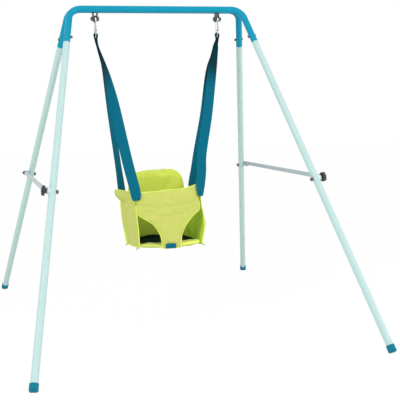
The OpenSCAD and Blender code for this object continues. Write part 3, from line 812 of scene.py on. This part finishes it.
# A lighter copy of the lime for the back: painted light, as the lamps leave this deep-set panel darker than
# the front.
lime_back_painted_light = fabric("lime_back_painted_light", (226, 238, 98), (208, 222, 82))
sewn_part("seat_back_pad", "seat_back", lime_back_painted_light, back_outline, 0.008, back_place,
          seams=back_rows, swell=0.0035)

# ---- Side panels ----
# A padded wall on each side, sewn to the base, the back and the front. The sides bulge out
# between the seams.


def side_place(side):
    """A side: its own plane stands along the seat, x to the back from the front and y up."""

    def place(x, y, z):
        run = x / SEAT_DEPTH
        middle = math.sin(math.pi * max(0, min(1, run)))
        fold = 0.0018 * noise.noise(Vector((x * 20, y * 6, 4.0 + side))) * middle
        belly = 0.003 * middle * ease((y - 0.30) / 0.05)
        out = outer(side, run, y) - 0.006 - z + fold + belly
        return Vector((side * out, -SEAT_FRONT_Y + x, y))

    return place


for side, word, top in ((-1, "left", 479), (1, "right", 483)):
    side_outline = rounded((0, 297), (0, 297), (232, 280), (232, 280), (232, 454), (232, 454), (0, top),
                           (0, top))
    # Inner faces get the greener painted-shade copy of the lime.
    sewn_part(f"{word}_side_pad", f"{word}_side_panel", lime, side_outline, 0.006,
              side_place(side), swell=0.003, shade_facing=Vector((-side, 0, 0)))

# ---- Cuffs ----
# A soft flap along the sloping top of each side panel. On the left its rear end falls outwards
# and rolls up again, on the right it stands nearly upright.


def cuff_place(side):
    """A cuff: its own plane is unrolled, x to the back and y up from the seam."""

    def place(x, y, z):
        run = max(0.0, x / SEAT_DEPTH)
        seam = (0.476 - 0.026 * run) if side < 0 else (0.480 - 0.030 * run)
        rise = y / (0.034 + 0.029 * run)
        wave = 0.0022 * noise.noise(Vector((x * 22, y * 14, side)))
        if side < 0:
            out = 0.028 * run * math.sin(max(0.0, min(2.0, 1.9 * rise))) ** 1.3
            up = (0.034 + 0.020 * run) * (0.95 * rise + 0.05 * ease((rise - 0.6) / 0.4))
            tilt = run * (0.75 - 1.1 * ease((rise - 0.35) / 0.65))
        else:
            tilt = 0.31 - 0.05 * run
            out, up = y * math.sin(tilt), y * math.cos(tilt)
        out += outer(side, run, seam) - 0.0055 + wave * ease(y / 0.03) - z * math.cos(tilt)
        return Vector((side * out, -SEAT_FRONT_Y + x, seam + up + z * math.sin(tilt)))

    return place


for side, word, start in ((-1, "left", 0), (1, "right", 9)):
    cuff_outline = rounded((start, -4), (start, -4), (228, -4), (228, -4), (227, 60), (222, 64), (130, 51),
                           (start + 12, 36), (start, 34))
    sewn_part(f"{word}_cuff_pad", f"{word}_cuff", lime, cuff_outline, 0.0045,
              cuff_place(side), swell=0.0022)

# ---- Front panel ----
# A wide band with a crotch strip between the two leg holes, seamed across where the band
# meets the strip. The right end of the band is pulled up by its strap.


def front_place(x, y, z):
    """The front: its own plane stands up, x to the right and y up."""
    wrap = 0.004 * ease((-x - 0.095) / 0.03)
    wrap += (0.004 + 0.009 * ease((y - 0.45) / 0.04)) * ease((x - 0.085) / 0.04)
    belly = 0.004 * math.cos(math.pi * x / 0.26) * ease((y - 0.42) / 0.05)
    fold = 0.0016 * noise.noise(Vector((x * 11, y * 24, 7.0)))
    return Vector((x, -SEAT_FRONT_Y - 0.0060 - z + wrap - belly + fold, y))


front_outline = rounded((-34, 292), (-34, 292), (41, 291), (41, 291), (42, 335), (51, 358), (63, 380),
                        (79, 400), (98, 419), (117, 433), (119, 436), (119, 470), (115, 490), (109, 508),
                        (106, 529), (105, 530), (76, 523), (48, 517), (0, 516), (-68, 511), (-112, 510),
                        (-124, 508), (-128, 476), (-131, 438), (-129, 430), (-108, 414), (-79, 397),
                        (-66, 387), (-50, 364), (-39, 343), (-35, 318))
hem_row = [Vector(spot) for spot in ((-0.128, 0.460), (-0.06, 0.452), (0.02, 0.452), (0.09, 0.462),
                                     (0.118, 0.470))]
band_row = [Vector(spot) for spot in ((-0.100, 0.4185), (0.0, 0.4165), (0.094, 0.4255))]
# Its inner face gets the greener painted-shade copy of the lime.
sewn_part("front_panel_pad", "front_panel", lime, front_outline, 0.0065, front_place,
          seams=[hem_row, band_row], swell=0.003, shade_facing=Vector((0, 1, 0)))

# ---- Front tab ----
# A short piece of the same webbing sewn over the foot of the crotch strip. It is bare, and
# held by one crossed square of thread.

tab_rows = [(-0.002, y, z, 0, 0) for y, z in ((-0.1316, 0.2915), (-0.1332, 0.300), (-0.1336, 0.3105))]
tab, tab_sewing = strap("front_tab_webbing", tab_rows, count=16, boxes=((2, 13),))
tab.data.materials.append(web)
tab_sewing.data.materials.append(web_thread)
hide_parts("front_tab")
for made in (tab, tab_sewing):
    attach(made, "swing")

# ---- Corner tails ----
# A short greyish tail stands out at each lower corner of the seat. Each is a bent run of round tape, and all
# four are one piece.


def joined(name, lines, radius, finish):
    """Several open lengths of round tape as one piece, on the seat."""
    lengths = [binding(name, [Vector(spot) for spot in line], radius, closed=False) for line in lines]
    for length in lengths:
        length.select_set(True)
    bpy.ops.object.join()
    piece = bpy.context.object
    piece.data.materials.append(finish)
    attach(piece, "swing")


tail_lines = []
for x, y, z in ((-0.126, -0.119, 0.2985), (0.125, -0.119, 0.2985), (-0.123, 0.106, 0.281),
                (0.123, 0.106, 0.281)):
    bend, end = math.copysign(0.006, x), math.copysign(0.010, x)
    tail_lines.append([(x, y, z), (x + bend, y - 0.002, z - 0.002), (x + end, y - 0.003, z - 0.005)])
joined("corner_tails", tail_lines, 0.0016, moulded("greyish_tail", (150, 146, 104), 0.7))

# ---- Corner seam shade ----
# A thin olive welt down each front corner below its strap is painted shade: the shadow in the gap where the
# front panel's edge meets the side. Each row follows the edge of the front panel down from the strap's end.

left_row = [(-0.1290, -0.1262, 0.489), (-0.1308, -0.1256, 0.478), (-0.1322, -0.1250, 0.462)]
right_row = [(0.1120, -0.1220, 0.498), (0.1165, -0.1196, 0.488), (0.1196, -0.1184, 0.472),
             (0.1204, -0.1182, 0.455)]
joined("corner_seam_shade", [left_row, right_row], 0.0013, moulded("olive_seam_shade", (116, 112, 26), 0.7))

# ---- Bolt caps ----
# A black plastic cap pressed over the outer end of each brace bolt. It is drawn out from its
# rim, ring after ring, to the radius that it has at each height above the washer.

BOLT_HEAD = 0.0083
cap_rings = [(0.0094, 0.0), (0.0094, 0.0012), (0.0086, 0.0020), (0.0084, 0.0070), (0.0074, 0.0095),
             (0.0050, 0.0130), (0.0028, 0.0158), (0.0, 0.0170)]
for side in ("left", "right"):
    hinge, out = (Vector(joints[f"{side}_brace_swing"][key]) for key in ("pos_m", "axis"))
    out *= math.copysign(1, out.x * hinge.x)
    bolt = frame["nodes"][f"{side}_brace_bolt"].data
    bolt_end = max((vertex.co - hinge).dot(out) for vertex in bolt.vertices)
    foot = hinge + out * (bolt_end - BOLT_HEAD)
    bpy.ops.object.select_all(action="DESELECT")
    bpy.ops.mesh.primitive_circle_add(vertices=32, radius=cap_rings[0][0], location=foot,
                                      rotation=out.to_track_quat("Z", "Y").to_euler())
    cap = bpy.context.object
    cap.name = f"{side}_bolt_cap"
    edit_alone(cap)
    for (radius, height), (next_radius, next_height) in zip(cap_rings, cap_rings[1:]):
        bpy.ops.mesh.extrude_region_move(TRANSFORM_OT_translate={"value": out * (next_height - height)})
        bpy.ops.transform.resize(value=[next_radius / radius] * 3, center_override=foot + out * next_height)
    bpy.ops.mesh.merge(type="CENTER")
    bpy.ops.mesh.select_all(action="SELECT")
    bpy.ops.mesh.normals_make_consistent(inside=False)
    bpy.ops.object.mode_set(mode="OBJECT")
    bpy.ops.object.transform_apply(location=True, rotation=True, scale=True)
    bpy.ops.object.shade_smooth()
    cap.data.materials.append(black_plastic)
    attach(cap, "rear_frame")
